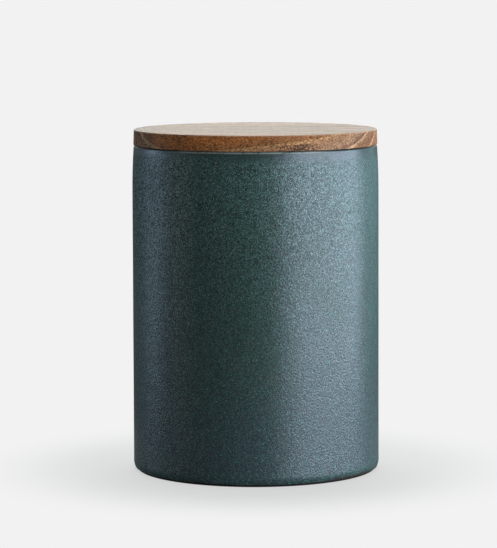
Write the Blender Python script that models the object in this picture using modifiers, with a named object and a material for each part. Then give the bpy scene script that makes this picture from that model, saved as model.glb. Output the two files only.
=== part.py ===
"""A round stoneware storage jar, its turned wooden lid and the silicone seal in the lid's groove.

Metres, +Z up. The origin is the centre of the foot, on the surface that the jar stands on. Every
piece is an outline of (radius, height) points, turned about the Z axis. The lid and its seal hang
from an empty on that axis, at the height where the lid sits, and they lift straight up along it.
"""

import math

import bpy

# The jar's outside: radii from its axis, heights from the surface it stands on
JAR_HEIGHT = 0.1432
JAR_RADIUS = 0.05425
BODY_TAPER = 0.00015  # how much narrower the wall is where the shoulder starts
SHOULDER_HEIGHT = 0.024  # the stretch under the rim that draws in
SHOULDER_DRAW_IN = 0.00072
SHOULDER_POWER = 2.5  # above 1, so that the shoulder draws in faster towards the rim
BASE_ROUND_RISE = 0.0039  # where the rounded lower edge runs into the wall
BASE_ROUND_RUN = 0.00144  # how far the foot's edge stands inside the wall

# The jar's wall, mouth and foot
WALL_THICKNESS = 0.0048
FLOOR_THICKNESS = 0.0058
FLOOR_FILLET = 0.007
RIM_OUTER_ROUND = 0.0008
RIM_INNER_ROUND = 0.0012
FOOT_RING_WIDTH = 0.0062
FOOT_RECESS = 0.0009

# The lid: a brim that rests on the rim, and a plug that goes into the mouth
SEAT_GAP = 0.0003
BRIM_THICKNESS = 0.0065
BRIM_OVERHANG = 0.00012  # how far the brim's widest edge stands past the rim
BRIM_TAPER = 0.0002  # how much narrower the brim is at its top edge
BRIM_TOP_ROUND = 0.0005
BRIM_LOWER_ROUND = 0.0004
PLUG_CLEARANCE = 0.0012
PLUG_LAND_ABOVE = 0.0026  # plug above the seal's groove
PLUG_LAND_BELOW = 0.0028  # plug below it
PLUG_EDGE_ROUND = 0.001
GROOVE_HEIGHT = 0.0046
GROOVE_DEPTH = 0.0022

# The seal: a band in the groove, with soft fins that reach for the mouth's wall
SEAL_GAP = 0.0003  # between the band and the groove's three faces
SEAL_SETBACK = 0.0002  # how far the band's outer face stays inside the plug's side
FIN_COUNT = 2
FIN_WALL_GAP = 0.0003
FIN_ROOT_THICKNESS = 0.001
FIN_TIP_THICKNESS = 0.0006
FIN_RISE = 0.0005  # the fins bend up as the plug goes down into the mouth

# How finely the round shapes are drawn
TURN_STEPS = 72
ARC_STEPS = 3
BASE_ARC_STEPS = 4
FILLET_STEPS = 5
SHOULDER_STEPS = 6
MERGE_DISTANCE = 0.00001
SHARP_ANGLE = math.radians(35)
FULL_TURN = math.radians(360)

# Sizes that follow from those above
SHOULDER_RADIUS = JAR_RADIUS - BODY_TAPER
SHOULDER_BASE = JAR_HEIGHT - SHOULDER_HEIGHT
RIM_RADIUS = SHOULDER_RADIUS - SHOULDER_DRAW_IN
MOUTH_RADIUS = JAR_RADIUS - WALL_THICKNESS
FLOOR_TOP = FOOT_RECESS + FLOOR_THICKNESS
FOOT_RADIUS = JAR_RADIUS - BASE_ROUND_RUN
FOOT_INNER_RADIUS = FOOT_RADIUS - FOOT_RING_WIDTH
SEAT_HEIGHT = JAR_HEIGHT + SEAT_GAP
BRIM_RADIUS = RIM_RADIUS + BRIM_OVERHANG
BRIM_TOP_RADIUS = BRIM_RADIUS - BRIM_TAPER
PLUG_RADIUS = MOUTH_RADIUS - PLUG_CLEARANCE
PLUG_DEPTH = PLUG_LAND_ABOVE + GROOVE_HEIGHT + PLUG_LAND_BELOW
GROOVE_RADIUS = PLUG_RADIUS - GROOVE_DEPTH
GROOVE_TOP = -PLUG_LAND_ABOVE
GROOVE_BOTTOM = GROOVE_TOP - GROOVE_HEIGHT


def arc(centre, radius, start_deg, end_deg, steps):
    """Points on a round edge, from one angle to the other."""
    points = []
    for step in range(steps + 1):
        angle = math.radians(start_deg + (end_deg - start_deg) * step / steps)
        points.append((centre[0] + radius * math.cos(angle), centre[1] + radius * math.sin(angle)))
    return points


def shoulder_points():
    """The stretch that draws in towards the rim, from just under the rim's round edge down."""
    top_share = 1 - RIM_OUTER_ROUND / SHOULDER_HEIGHT
    points = []
    for step in range(1, SHOULDER_STEPS + 1):
        share = top_share * (1 - step / SHOULDER_STEPS)
        radius = SHOULDER_RADIUS - SHOULDER_DRAW_IN * share**SHOULDER_POWER
        points.append((radius, SHOULDER_BASE + SHOULDER_HEIGHT * share))
    return points


def base_round_points():
    """The rounded lower edge: an arc that leaves the wall upright and ends at the foot."""
    radius = (BASE_ROUND_RISE**2 + BASE_ROUND_RUN**2) / (2 * BASE_ROUND_RUN)
    sweep_deg = math.degrees(2 * math.atan(BASE_ROUND_RUN / BASE_ROUND_RISE))
    centre = (JAR_RADIUS - radius, BASE_ROUND_RISE)
    points = arc(centre, radius, 0, -sweep_deg, BASE_ARC_STEPS)
    points[-1] = (FOOT_RADIUS, 0)
    return points


def jar_outline():
    """From the middle of the inside floor, up the inside, over the rim and down to the foot."""
    fillet_centre = (MOUTH_RADIUS - FLOOR_FILLET, FLOOR_TOP + FLOOR_FILLET)
    inner_round_centre = (MOUTH_RADIUS + RIM_INNER_ROUND, JAR_HEIGHT - RIM_INNER_ROUND)
    outer_round_centre = (RIM_RADIUS - RIM_OUTER_ROUND, JAR_HEIGHT - RIM_OUTER_ROUND)
    points = [(0, FLOOR_TOP)]
    points += arc(fillet_centre, FLOOR_FILLET, -90, 0, FILLET_STEPS)
    points += arc(inner_round_centre, RIM_INNER_ROUND, 180, 90, ARC_STEPS)
    points += arc(outer_round_centre, RIM_OUTER_ROUND, 90, 0, ARC_STEPS)
    points += shoulder_points()
    points += base_round_points()
    points.append((FOOT_INNER_RADIUS, 0))
    points.append((FOOT_INNER_RADIUS - FOOT_RECESS, FOOT_RECESS))
    points.append((0, FOOT_RECESS))
    return points


def lid_outline():
    """From the middle of the lid's top, down the brim's edge and the plug, to the plug's end."""
    top_round_centre = (BRIM_TOP_RADIUS - BRIM_TOP_ROUND, BRIM_THICKNESS - BRIM_TOP_ROUND)
    lower_round_centre = (BRIM_RADIUS - BRIM_LOWER_ROUND, BRIM_LOWER_ROUND)
    plug_round_centre = (PLUG_RADIUS - PLUG_EDGE_ROUND, PLUG_EDGE_ROUND - PLUG_DEPTH)
    points = [(0, BRIM_THICKNESS)]
    points += arc(top_round_centre, BRIM_TOP_ROUND, 90, 0, ARC_STEPS)
    points += arc(lower_round_centre, BRIM_LOWER_ROUND, 0, -90, ARC_STEPS)
    points.append((PLUG_RADIUS, 0))
    points.append((PLUG_RADIUS, GROOVE_TOP))
    points.append((GROOVE_RADIUS, GROOVE_TOP))
    points.append((GROOVE_RADIUS, GROOVE_BOTTOM))
    points.append((PLUG_RADIUS, GROOVE_BOTTOM))
    points += arc(plug_round_centre, PLUG_EDGE_ROUND, 0, -90, ARC_STEPS)
    points.append((0, -PLUG_DEPTH))
    return points


def seal_outline():
    """A closed outline: down the outside of the band, over each fin, and up the inside."""
    inner_radius = GROOVE_RADIUS + SEAL_GAP
    outer_radius = PLUG_RADIUS - SEAL_SETBACK
    tip_radius = MOUTH_RADIUS - FIN_WALL_GAP
    top = GROOVE_TOP - SEAL_GAP
    bottom = GROOVE_BOTTOM + SEAL_GAP
    points = [(inner_radius, top), (outer_radius, top)]
    for fin in range(FIN_COUNT):
        height = top + (bottom - top) * (fin + 0.5) / FIN_COUNT
        tip_height = height + FIN_RISE
        points.append((outer_radius, height + FIN_ROOT_THICKNESS / 2))
        points.append((tip_radius, tip_height + FIN_TIP_THICKNESS / 2))
        points.append((tip_radius, tip_height - FIN_TIP_THICKNESS / 2))
        points.append((outer_radius, height - FIN_ROOT_THICKNESS / 2))
    points += [(outer_radius, bottom), (inner_radius, bottom)]
    return points


def plain_material(name, colour, roughness, specular):
    material = bpy.data.materials.new(name)
    material.use_nodes = True
    shader = material.node_tree.nodes["Principled BSDF"]
    shader.inputs["Base Color"].default_value = (*colour, 1)
    shader.inputs["Roughness"].default_value = roughness
    shader.inputs["Metallic"].default_value = 0
    shader.inputs["Specular IOR Level"].default_value = specular
    material.diffuse_color = (*colour, 1)
    return material


def teal_glaze():
    """A matt reactive glaze, deep blue-green."""
    return plain_material("teal_glaze", (0.035, 0.085, 0.095), 0.45, 0.5)


def oiled_acacia():
    """Warm brown hardwood with a thin coat of oil."""
    return plain_material("oiled_acacia", (0.23, 0.11, 0.055), 0.5, 0.4)


def clear_silicone():
    """Milky, slightly see-through silicone rubber."""
    return plain_material("clear_silicone", (0.72, 0.72, 0.69), 0.4, 0.4)


def turned(name, outline, material, collection, parent=None, closed=False):
    """One piece, made by turning its outline once round the Z axis."""
    edges = [(i, i + 1) for i in range(len(outline) - 1)]
    if closed:
        edges.append((len(outline) - 1, 0))
    outline_mesh = bpy.data.meshes.new(name + "_outline")
    outline_mesh.from_pydata([(radius, 0, height) for radius, height in outline], edges, [])
    outline_mesh.materials.append(material)
    piece = bpy.data.objects.new(name, outline_mesh)
    collection.objects.link(piece)
    piece.parent = parent
    screw = piece.modifiers.new("turn", "SCREW")
    screw.axis = "Z"
    screw.angle = FULL_TURN
    screw.steps = TURN_STEPS
    screw.render_steps = TURN_STEPS
    screw.use_merge_vertices = True
    screw.merge_threshold = MERGE_DISTANCE
    apply_turn(piece)
    piece.data.shade_smooth()
    piece.data.set_sharp_from_angle(angle=SHARP_ANGLE)


def apply_turn(piece):
    """Swaps the outline for the turned mesh, so that its crisp edges can be marked."""
    evaluated = piece.evaluated_get(bpy.context.evaluated_depsgraph_get())
    turned_mesh = bpy.data.meshes.new_from_object(evaluated)
    turned_mesh.name = piece.name
    outline_mesh = piece.data
    piece.modifiers.clear()
    piece.data = turned_mesh
    bpy.data.meshes.remove(outline_mesh)


def new_collection(name):
    collection = bpy.data.collections.new(name)
    bpy.context.scene.collection.children.link(collection)
    return collection


def lid_axis(collection):
    """The empty that the lid and its seal hang from: on the axis, where the lid sits."""
    empty = bpy.data.objects.new("lid_axis", None)
    empty.location = (0, 0, SEAT_HEIGHT)
    empty.empty_display_size = BRIM_RADIUS
    collection.objects.link(empty)
    return empty


def clear_scene():
    for old in list(bpy.data.objects):
        bpy.data.objects.remove(old, do_unlink=True)


def main():
    clear_scene()
    collection = new_collection("storage_jar")
    lid_seat = lid_axis(collection)
    turned("stoneware_jar", jar_outline(), teal_glaze(), collection)
    turned("wooden_lid", lid_outline(), oiled_acacia(), collection, lid_seat)
    turned("silicone_seal", seal_outline(), clear_silicone(), collection, lid_seat, closed=True)


main()
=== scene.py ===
import math

import bpy
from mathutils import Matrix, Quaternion, Vector, noise


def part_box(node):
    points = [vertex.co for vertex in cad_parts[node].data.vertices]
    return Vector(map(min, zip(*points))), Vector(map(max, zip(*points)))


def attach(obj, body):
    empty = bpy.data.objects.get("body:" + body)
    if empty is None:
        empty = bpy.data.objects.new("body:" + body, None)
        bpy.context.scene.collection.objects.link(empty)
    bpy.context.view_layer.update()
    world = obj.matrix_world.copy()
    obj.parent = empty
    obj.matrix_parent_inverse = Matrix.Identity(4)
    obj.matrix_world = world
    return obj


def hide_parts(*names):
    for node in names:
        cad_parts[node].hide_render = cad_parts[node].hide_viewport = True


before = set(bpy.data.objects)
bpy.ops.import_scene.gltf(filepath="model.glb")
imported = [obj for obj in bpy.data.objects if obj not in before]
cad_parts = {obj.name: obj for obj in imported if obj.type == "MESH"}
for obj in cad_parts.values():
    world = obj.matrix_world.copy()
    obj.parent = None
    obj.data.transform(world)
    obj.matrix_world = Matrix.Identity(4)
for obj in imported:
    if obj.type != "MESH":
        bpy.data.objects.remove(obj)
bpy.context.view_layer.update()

MM = 0.001

# Where Blender's Mix node keeps its two colours or vectors and their mixture
MIX_A = 6
MIX_B = 7
MIX_RESULT = 2
MIX_A_VECTOR = 4
MIX_B_VECTOR = 5
MIX_RESULT_VECTOR = 1

# Sizes that the frame gives: the jar, the lid over it and the seal in the jar's mouth
_, jar_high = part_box("stoneware_jar")
lid_low, lid_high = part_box("wooden_lid")
_, seal_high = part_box("silicone_seal")
JAR_RADIUS = jar_high.x
JAR_HEIGHT = jar_high.z
BRIM_RADIUS = lid_high.x
LID_TOP = lid_high.z
PLUG_END = lid_low.z
FIN_TIP_RADIUS = seal_high.x

# The jar, as the part's source gives it
BODY_TAPER = 0.15 * MM
SHOULDER_HEIGHT = 24 * MM
SHOULDER_DRAW_IN = 0.72 * MM
SHOULDER_POWER = 2.5
BASE_ROUND_RISE = 3.9 * MM
BASE_ROUND_RUN = 1.44 * MM
FLOOR_TOP = 6.7 * MM
FLOOR_FILLET = 7 * MM
RIM_OUTER_ROUND = 0.8 * MM
RIM_INNER_ROUND = 1.2 * MM
FOOT_RING_WIDTH = 6.2 * MM
FOOT_RECESS = 0.9 * MM
FOOT_EDGE_ROUND = 0.3 * MM
MOUTH_RADIUS = FIN_TIP_RADIUS + 0.3 * MM
RIM_RADIUS = JAR_RADIUS - BODY_TAPER - SHOULDER_DRAW_IN
FOOT_RADIUS = JAR_RADIUS - BASE_ROUND_RUN

# The glaze coat, which stops short of the foot in a soft wandering edge and leaves the clay bare there
GLAZE_LINE = 1.1 * MM
GLAZE_LINE_WANDER = 0.35 * MM
GLAZE_LINE_WAVES = 5
GLAZE_LINE_RIPPLES = 4
GLAZE_LINE_RIPPLE_SHARE = 0.4
GLAZE_THICKNESS = 0.28 * MM
GLAZE_BEAD = 0.08 * MM
WALL_WAVE = 0.05 * MM
WALL_WAVE_LENGTH = 26 * MM

# The lid, with the solid's plug and groove. Its brim comes down closer on the rim, as it rests in fact
SOLID_SEAT = JAR_HEIGHT + 0.3 * MM
SEAT_HEIGHT = JAR_HEIGHT + 0.06 * MM
BRIM_TAPER = 0.2 * MM
BRIM_TOP_ROUND = 0.5 * MM
BRIM_LOWER_ROUND = 0.25 * MM
PLUG_RADIUS = MOUTH_RADIUS - 1.2 * MM
PLUG_EDGE_ROUND = 1.0 * MM
GROOVE_TOP = SOLID_SEAT - 2.6 * MM
GROOVE_BOTTOM = GROOVE_TOP - 4.6 * MM
GROOVE_RADIUS = PLUG_RADIUS - 2.2 * MM

# The seal, as the part's source gives it
SEAL_TOP = GROOVE_TOP - 0.3 * MM
SEAL_BOTTOM = GROOVE_BOTTOM + 0.3 * MM
SEAL_INNER_RADIUS = GROOVE_RADIUS + 0.3 * MM
SEAL_OUTER_RADIUS = PLUG_RADIUS - 0.2 * MM
FIN_COUNT = 2
FIN_ROOT_THICKNESS = 1.0 * MM
FIN_TIP_THICKNESS = 0.6 * MM
FIN_RISE = 0.5 * MM
SEAL_EDGE_ROUND = 0.25 * MM
PARTING_RIDGE = 0.06 * MM

# How finely the round shapes are drawn
COLUMNS = 288
WALL_ROW = 2.5 * MM
ARC_ROWS = 8
FIN_TIP_ROWS = 6
FOOT_EDGE_ROWS = 4
SMALL_EDGE_ROWS = 3
SHARP_ANGLE = math.radians(40)
FLAT_KEEPER = 0.08 * MM

# The glaze's patterns, each from the size of the real thing
CLOUD_SIZE = 34 * MM
PATCH_SIZE = 1.8 * MM
CRYSTAL_SIZE = 0.26 * MM
BUBBLE_SPACING = 5 * MM
FLECK_SPACING = 1.3 * MM
# The painted highlight on the rim's edge is broken into dashes this long
HIGHLIGHT_DASH_LENGTH = 3.5 * MM
PEBBLE_SIZE = 0.75 * MM
PEBBLE_RISE = 0.08 * MM

# How strongly a crystal stands out and a pit sinks back, and what the smooth band keeps and gains
CRYSTAL_STRENGTH = 0.26
PIT_STRENGTH = 0.13
PINHOLE_STRENGTH = 0.09
SMOOTH_BAND_GRAIN = 0.3
SMOOTH_BAND_GLOSS = 0.15
SMOOTH_BAND_POLISH = 0.2
COARSE_ROUGHNESS = 0.08

# Where on the jar each pattern starts and ends: heights, and places along X for the coarse side
SMOOTH_BAND = (JAR_HEIGHT - 4.5 * MM, JAR_HEIGHT + 2.5 * MM)
SMOOTH_BAND_RAGGED = 5 * MM
SMOOTH_BAND_SLOPE = 0.02
COARSE_TOP = (60 * MM, 135 * MM)
COARSE_SIDE = (-50 * MM, -24 * MM)
PINHOLES = (95 * MM, 125 * MM)
GREENER = (100 * MM, 135 * MM)
BLUER = (15 * MM, 80 * MM)
FLECKS_THIN_OUT = (20 * MM, 120 * MM)
FLECKS_GATHER = (3 * MM, 6.5 * MM)
SCORCHED_FOOT = (1.2 * MM, 2.4 * MM)
# The painted highlight along the rim's edge: its height and width, and where along the rim it lies
RIM_HIGHLIGHT_HEIGHT = JAR_HEIGHT - 0.62 * MM
RIM_HIGHLIGHT_WIDTH = (0.2 * MM, 0.5 * MM)
RIM_HIGHLIGHT_MIDDLE = (-3 * MM, -RIM_RADIUS, JAR_HEIGHT)
RIM_HIGHLIGHT_REACH = (27 * MM, 40 * MM)

# The bare clay's patterns, and how far in under the foot the flame reached
CLAY_MOTTLE = 6 * MM
GRIT_SPACING = 0.9 * MM
GRIT_RISE = 0.08 * MM
SHELTERED_FOOT = (FOOT_RADIUS - 1 * MM, FOOT_RADIUS - 5 * MM)

# The board that the lid was turned from: its pith ran askew over it, and these are its growth rings, the
# outer tones partly painted sheen
GRAIN_SKEW = 0.02
GRAIN_TILT = 0.11
PITH_OFFSET = 49.5 * MM
PITH_ABOVE_TOP = 43.2 * MM
RING_WANDER = 0.6 * MM
RING_WANDER_LENGTH = 16 * MM
PORE_RING = 50.2 * MM
PALE_RING = 47.7 * MM
RING_TONES = (
    (39.5 * MM, "#b17241"),
    (44.0 * MM, "#ab6e3e"),
    (46.6 * MM, "#986641"),
    (47.6 * MM, "#885d37"),
    (48.0 * MM, "#9f7955"),
    (48.7 * MM, "#ad8258"),
    (49.6 * MM, "#987151"),
    # From here out the tones are made cooler than the wood's own, as painted sheen where they fall on the
    # right part of the edge
    (53.6 * MM, "#9c7a5d"),
    (55.2 * MM, "#835e49"),
    (55.7 * MM, "#88624d"),
    (56.0 * MM, "#d8b088"),
    (57.1 * MM, "#987052"),
    (60.5 * MM, "#865e44"),
    (62.3 * MM, "#8d654a"),
    (62.7 * MM, "#cda67e"),
    (63.8 * MM, "#926947"),
    (72.0 * MM, "#956a52"),
    (72.7 * MM, "#b58a66"),
    (73.8 * MM, "#a07751"),
    (83.0 * MM, "#956b44"),
    (83.8 * MM, "#b58966"),
    (85.2 * MM, "#a27754"),
    (96.0 * MM, "#986f4e"),
    (97.0 * MM, "#b18663"),
    (113.0 * MM, "#a1744e"),
)

# The wood's patterns. They are drawn out along the grain, and cut short again on the turned edge
ALONG_THE_GRAIN = 0.12
END_GRAIN = (5, 0.35, 1)
FIGURE_SIZE = 9 * MM
FIBRE_SIZE = 0.6 * MM
FIBRE_END_SIZE = 0.36 * MM
FIBRE_RISE = 0.03 * MM
VESSEL_SPACING = 1.2 * MM
FLAT_FACE = (0.6, 0.95)
OIL_EVENING = 0.65
LID_ENDS = (-50 * MM, 50 * MM)
DARKER_LEFT_END = (-51 * MM, -41 * MM)
PALE_LINE_END = (-42 * MM, -36 * MM)
KNOT_X, KNOT_Y, KNOT_HEIGHT = 19 * MM, -50.5 * MM, JAR_HEIGHT + 0.9 * MM
KNOT_REACH = (3 * MM, 11 * MM)
KNOT_FLATTENING = 4
KNOT_CROWDING = 0.8
KNOT_DARKNESS = 0.8
# Where the painted highlight along the top's edge lies, as height plus distance from the axis
EDGE_HIGHLIGHT_BAND = (LID_TOP + BRIM_RADIUS - 0.75 * MM, LID_TOP + BRIM_RADIUS - 0.45 * MM)

# The silicone's patterns
HAZE_SIZE = 5 * MM
MOULD_GRAIN = 0.5 * MM
MOULD_RISE = 0.01 * MM

# The table and the backdrop
BACKGROUND = "#f2f2f2"
FLOOR_COLOUR = "#f2f0ec"
FLOOR_REAL_COLOUR = "#707070"
FLOOR_SIDES = 64
FLOOR_FADE_START = 0.06
FLOOR_REACH = 0.14
FLOOR_GLOSS_SHARE = 0.1
SHADOW_SHARE = 0.35
FILL_LEVEL = 0.115
HORIZON = (-0.02, 0.04)
BACKDROP_SIDES = (0.55, 0.85)
BACKDROP_LEFT = (-0.4, 0)
BACKDROP_LEFT_LEVEL = 0.35

# The soft panels, each facing the jar's axis at some height. Azimuth is 0 at the camera, 90 at its right.
# The rows give name, azimuth, elevation, faced height, distance, width, height, radiance and tint
PANELS = (
    ("key_softbox", 55, 0, 65 * MM, 1, 1.03, 0.23, 14, (0.97, 1.0, 1.06)),
    ("side_softbox", 96, 0, 65 * MM, 1, 0.48, 0.23, 11.6, (0.91, 1.0, 1.13)),
    ("right_card", 135, 0, 65 * MM, 1, 0.4, 0.23, 0.9, (0.46, 0.93, 1.08)),
    ("left_softbox", -107, 0, 85 * MM, 1, 0.37, 0.23, 3.5, (0.82, 1.02, 1.23)),
    ("left_card", -140, 0, 65 * MM, 1, 0.4, 0.23, 0.08, (0.2, 1.0, 1.25)),
    ("white_card", -75, 0, 65 * MM, 1, 0.26, 0.23, 1.4, (1.1, 1.0, 0.95)),
    ("back_softbox", 180, 25, 75 * MM, 1, 0.9, 0.4, 3.4, (0.96, 1, 0.95)),
    ("top_softbox", 180, 75, 75 * MM, 1.2, 0.9, 0.9, 2.7, (0.88, 1, 1.04)),
)

# The camera, fitted to the jar's outline. Its focal length is in pixels of the photo
PHOTO_HEIGHT = 548
FOCAL_PIXELS = 2932.9
SENSOR = 36
CAMERA_PLACE = (0, -1.2863, 0.2222)
CAMERA_YAW = math.radians(-0.142)
CAMERA_PITCH = math.radians(6.05)
CAMERA_ROLL = math.radians(-0.2)
CAMERA_CLIP = 0.05


def linear(hex_colour):
    """An sRGB hex colour as the linear colour that a shader takes."""
    channels = [int(hex_colour[i:i + 2], 16) / 255 for i in (1, 3, 5)]
    curved = [c / 12.92 if c <= 0.04045 else ((c + 0.055) / 1.055) ** 2.4 for c in channels]
    return (*curved, 1)


def link(tree, node, links):
    """Links are (socket, source). The source is a socket, or a node, which stands for its first output."""
    for name, source in links:
        if isinstance(source, bpy.types.Node):
            source = source.outputs[0]
        tree.links.new(node.inputs[name], source)


def add_node(tree, kind, settings=(), links=()):
    """One node: settings are (attribute or socket, value), links are (socket, source)."""
    node = tree.nodes.new(kind)
    for name, value in settings:
        if isinstance(name, str) and name in node.bl_rna.properties:
            setattr(node, name, value)
        else:
            node.inputs[name].default_value = value
    link(tree, node, links)
    return node


def new_material(name, settings):
    """A material, its node tree and its shader, with the numbers set that are the same all over it."""
    material = bpy.data.materials.new(name)
    material.use_nodes = True
    shader = material.node_tree.nodes["Principled BSDF"]
    for socket, value in settings:
        shader.inputs[socket].default_value = value
    return material, material.node_tree, shader


def layered(tree, ground, layers):
    """Colours laid over a ground, one after another. Each is (share, hex colour or source)."""
    top = ground
    for share, colour in layers:
        settings = [("data_type", "RGBA")]
        links = [(0, share), (MIX_A, top)]
        if isinstance(colour, str):
            settings.append((MIX_B, linear(colour)))
        else:
            links.append((MIX_B, colour))
        top = add_node(tree, "ShaderNodeMix", settings, links).outputs[MIX_RESULT]
    return top


def from_axis(tree, place):
    """How far a point is from the jar's axis."""
    level = add_node(tree, "ShaderNodeVectorMath", [
        ("operation", "MULTIPLY"), (1, (1, 1, 0)),
    ], [(0, place)])
    return add_node(tree, "ShaderNodeVectorMath", [("operation", "LENGTH")], [(0, level)]).outputs["Value"]


def in_scene(name, data):
    """A new object in the scene."""
    piece = bpy.data.objects.new(name, data)
    bpy.context.scene.collection.objects.link(piece)
    return piece


def arc(centre, radius, start_deg, end_deg, rows=ARC_ROWS):
    """Points on a round edge, from one angle to the other."""
    points = []
    for row in range(rows + 1):
        angle = math.radians(start_deg + (end_deg - start_deg) * row / rows)
        points.append((centre[0] + radius * math.cos(angle), centre[1] + radius * math.sin(angle)))
    return points


def run(start, end, row_length):
    """Points along a straight stretch, its ends left out."""
    rows = max(1, round(math.dist(start, end) / row_length))
    return [
        (start[0] + (end[0] - start[0]) * row / rows, start[1] + (end[1] - start[1]) * row / rows)
        for row in range(1, rows)
    ]


def joined(stretches, row_length):
    """One outline through several stretches, with rows added along each straight gap."""
    outline = list(stretches[0])
    for stretch in stretches[1:]:
        outline += run(outline[-1], stretch[0], row_length) + list(stretch)
    return outline


def ring_faces(rings):
    """Faces between each ring of points and the next. A ring that is one point gives triangles."""
    faces = []
    for upper, lower in zip(rings, rings[1:]):
        for column in range(COLUMNS):
            after = (column + 1) % COLUMNS
            corners = [upper[column], lower[column], lower[after], upper[after]]
            faces.append(list(dict.fromkeys(corners)))
    return faces


def turned_mesh(name, outline, moved, closed=False):
    """Turns an outline about the Z axis. moved(radius, height, angle) places each point."""
    verts, rings = [], []
    for radius, height in outline:
        if radius == 0:
            rings.append([len(verts)] * COLUMNS)
            verts.append((0, 0, height))
            continue
        rings.append(range(len(verts), len(verts) + COLUMNS))
        for column in range(COLUMNS):
            angle = 2 * math.pi * column / COLUMNS
            r, z = moved(radius, height, angle)
            verts.append((r * math.cos(angle), r * math.sin(angle), z))
    if closed:
        rings.append(rings[0])
    mesh = bpy.data.meshes.new(name)
    mesh.from_pydata(verts, [], ring_faces(rings))
    mesh.shade_smooth()
    mesh.set_sharp_from_angle(angle=SHARP_ANGLE)
    return in_scene(name, mesh)


def still(radius, height, angle):
    """Leaves a point where the outline has it."""
    return radius, height


def wall_radius(height):
    """The jar's outside: straight, with a shoulder that draws in under the rim."""
    share = max(0, (height - (JAR_HEIGHT - SHOULDER_HEIGHT)) / SHOULDER_HEIGHT)
    taper_share = min(1, height / (JAR_HEIGHT - SHOULDER_HEIGHT))
    return JAR_RADIUS - BODY_TAPER * taper_share - SHOULDER_DRAW_IN * share ** SHOULDER_POWER


def base_round(height):
    """The rounded lower edge of the jar's outside, as a radius at that height."""
    radius = (BASE_ROUND_RISE**2 + BASE_ROUND_RUN**2) / (2 * BASE_ROUND_RUN)
    drop = BASE_ROUND_RISE - height
    return JAR_RADIUS - radius + math.sqrt(radius**2 - drop**2)


def wall_rows():
    """The outside wall, from under the rim down to where the lower edge starts to round."""
    wall_top = JAR_HEIGHT - RIM_OUTER_ROUND
    rows = round((wall_top - BASE_ROUND_RISE) / WALL_ROW)
    heights = [wall_top + (BASE_ROUND_RISE - wall_top) * row / rows for row in range(1, rows + 1)]
    return [(wall_radius(height), height) for height in heights]


def glaze_line_rows():
    """The rounded lower edge down to the glaze line, where the melt gathered in a small bead."""
    rows = []
    for row in range(1, ARC_ROWS + 1):
        height = BASE_ROUND_RISE + (GLAZE_LINE - BASE_ROUND_RISE) * row / ARC_ROWS
        bead = GLAZE_BEAD * (row / ARC_ROWS) ** 3
        rows.append((base_round(height) + bead, height))
    rows.append((base_round(GLAZE_LINE) - GLAZE_BEAD, GLAZE_LINE - GLAZE_BEAD))
    return rows


def glaze_outline():
    """Inside floor, inside wall, rim, outside wall, rounded lower edge and glaze line."""
    fillet = (MOUTH_RADIUS - FLOOR_FILLET, FLOOR_TOP + FLOOR_FILLET)
    inner = (MOUTH_RADIUS + RIM_INNER_ROUND, JAR_HEIGHT - RIM_INNER_ROUND)
    outer = (RIM_RADIUS - RIM_OUTER_ROUND, JAR_HEIGHT - RIM_OUTER_ROUND)
    return joined([
        [(0, FLOOR_TOP)],
        arc(fillet, FLOOR_FILLET, -90, 0),
        arc(inner, RIM_INNER_ROUND, 180, 90),
        arc(outer, RIM_OUTER_ROUND, 90, 0),
        wall_rows(),
        glaze_line_rows(),
    ], WALL_ROW * 2)


def clay_outline():
    """The bare clay: from under the glaze's edge, over the foot ring, to the middle of the recess."""
    edge = GLAZE_LINE - GLAZE_BEAD
    foot_outer = FOOT_RADIUS - GLAZE_THICKNESS - FOOT_EDGE_ROUND
    foot_inner = FOOT_RADIUS - FOOT_RING_WIDTH
    return joined([
        [(base_round(edge) - GLAZE_THICKNESS, edge)],
        arc((foot_outer, FOOT_EDGE_ROUND), FOOT_EDGE_ROUND, 0, -90, FOOT_EDGE_ROWS),
        arc((foot_inner, FOOT_EDGE_ROUND), FOOT_EDGE_ROUND, -90, -150, SMALL_EDGE_ROWS),
        [(foot_inner - FOOT_RECESS, FOOT_RECESS)],
        [(0, FOOT_RECESS)],
    ], WALL_ROW)


def wall_wave(height, angle):
    """The slight, slow unevenness of a fired wall, always inwards."""
    spot = Vector((math.cos(angle), math.sin(angle), 0)) * JAR_RADIUS + Vector((0, 0, height))
    wave = noise.noise(spot / WALL_WAVE_LENGTH) - 1
    return wave * WALL_WAVE / 2


def line_wander(angle):
    """How far up or down the glaze line wanders there: slow waves with small ripples on them."""
    around = Vector((math.cos(angle), math.sin(angle), 0)) * GLAZE_LINE_WAVES
    ripple = noise.noise(around * GLAZE_LINE_RIPPLES)
    return GLAZE_LINE_WANDER * (noise.noise(around) + GLAZE_LINE_RIPPLE_SHARE * ripple)


def glazed(radius, height, angle):
    """Places a point of the jar: the outside waves a little, and the glaze line wanders up and down."""
    if radius < MOUTH_RADIUS:
        return radius, height
    if height > BASE_ROUND_RISE:
        if radius > MOUTH_RADIUS + RIM_INNER_ROUND and height < JAR_HEIGHT - RIM_OUTER_ROUND:
            radius += wall_wave(height, angle)
        return radius, height
    if height < GLAZE_LINE:
        share = height / GLAZE_LINE
    else:
        share = (BASE_ROUND_RISE - height) / (BASE_ROUND_RISE - GLAZE_LINE)
    moved_height = height + line_wander(angle) * share
    radius += base_round(moved_height) - base_round(height)
    return radius, moved_height


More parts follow.
